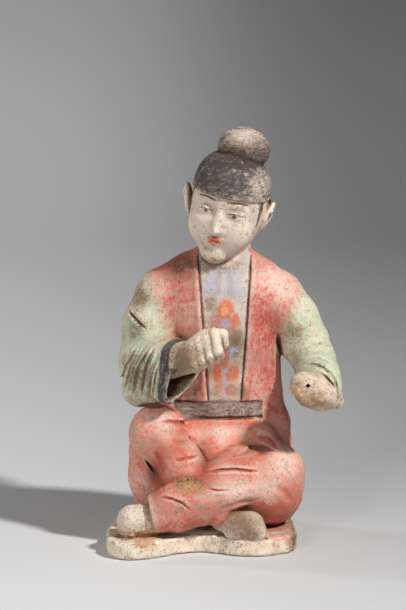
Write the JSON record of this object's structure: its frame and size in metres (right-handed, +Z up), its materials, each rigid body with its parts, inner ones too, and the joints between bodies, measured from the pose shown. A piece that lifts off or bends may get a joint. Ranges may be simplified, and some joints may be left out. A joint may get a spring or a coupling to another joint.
{
  "type": "terracotta figurine",
  "caption": "Painted terracotta figurine of a seated musician on a thin slab: legs crossed, hair under a cap with a round topknot, wide sleeves, hands held as if playing.",
  "frame": {"origin": "on the underside of the slab, below the figure's middle", "axes": "+Z up from the underside to the topknot, +X to the viewer's right, and the figure faces -Y"},
  "size_m": [0.1423, 0.1181, 0.2502],
  "materials": {
    "painted_terracotta": "matte, worn pigment over white slip on fired clay"
  },
  "bodies": {
    "root": {"figurine": "painted_terracotta"}
  },
  "joints": []
}
